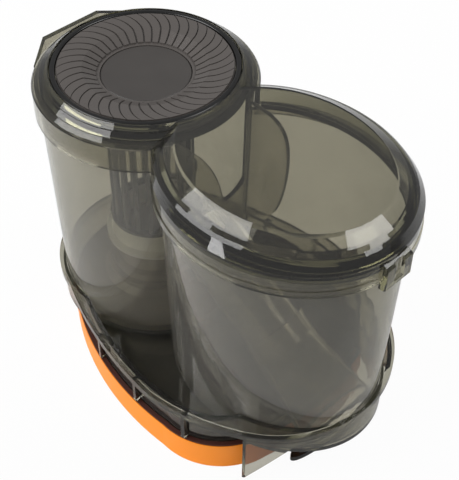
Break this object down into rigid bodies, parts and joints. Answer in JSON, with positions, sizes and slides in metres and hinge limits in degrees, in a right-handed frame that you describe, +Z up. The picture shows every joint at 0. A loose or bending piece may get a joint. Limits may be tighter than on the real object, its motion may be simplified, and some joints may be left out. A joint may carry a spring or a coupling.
{
  "type": "cyclone dust bin",
  "caption": "Smoky clear dust bin of a stick vacuum: round cyclone chamber joined to an oval dust chamber, lift-off lid with a swirl disc, slanted inlet duct and an orange filter underneath.",
  "frame": {"origin": "under the middle of the bin, on the surface it stands on", "axes": "+X from the cyclone to the dust chamber and the inlet nose, +Z up"},
  "size_m": [0.179, 0.1148, 0.133],
  "materials": {
    "smoke_clear": "clear smoky grey-green plastic, polished",
    "smoke_base": "clear smoky grey plastic, polished",
    "cage_smoke": "smoky plastic with sharp ribs",
    "disc_satin": "brown-grey satin plastic",
    "cap_satin": "brown-grey satin plastic, bare",
    "bezel_black": "gloss black",
    "seal_rubber": "soft dark rubber",
    "frame_orange": "moulded orange, semi-matt",
    "foam_grey": "open-cell foam",
    "fleece_dark": "charcoal felted fleece",
    "gasket_brown": "dark red-brown rubber"
  },
  "bodies": {
    "bin": {"bucket": "smoke_clear", "base_housing": "smoke_base", "outlet_tube": "smoke_base", "vortex_cage": "cage_smoke", "tube_seal": "seal_rubber", "inlet_socket": "smoke_clear", "inlet_duct": "smoke_clear", "inlet_seal": "seal_rubber"},
    "lid": {"lid": "smoke_clear", "swirl_disc": "disc_satin", "centre_cap": "cap_satin", "disc_bezel": "bezel_black", "cyclone_seal": "seal_rubber", "dust_seal": "seal_rubber"},
    "filter": {"filter_frame": "frame_orange", "filter_foam": "foam_grey", "filter_fleece": "fleece_dark", "filter_seal": "gasket_brown"}
  },
  "joints": [
    {"name": "lid_lift", "type": "slide", "parent": "bin", "child": "lid", "axis": [0, 0, 1], "range_m": [0, 0.06]},
    {"name": "filter_pull", "type": "slide", "parent": "bin", "child": "filter", "axis": [0, 0, -1], "range_m": [0, 0.04]}
  ]
}
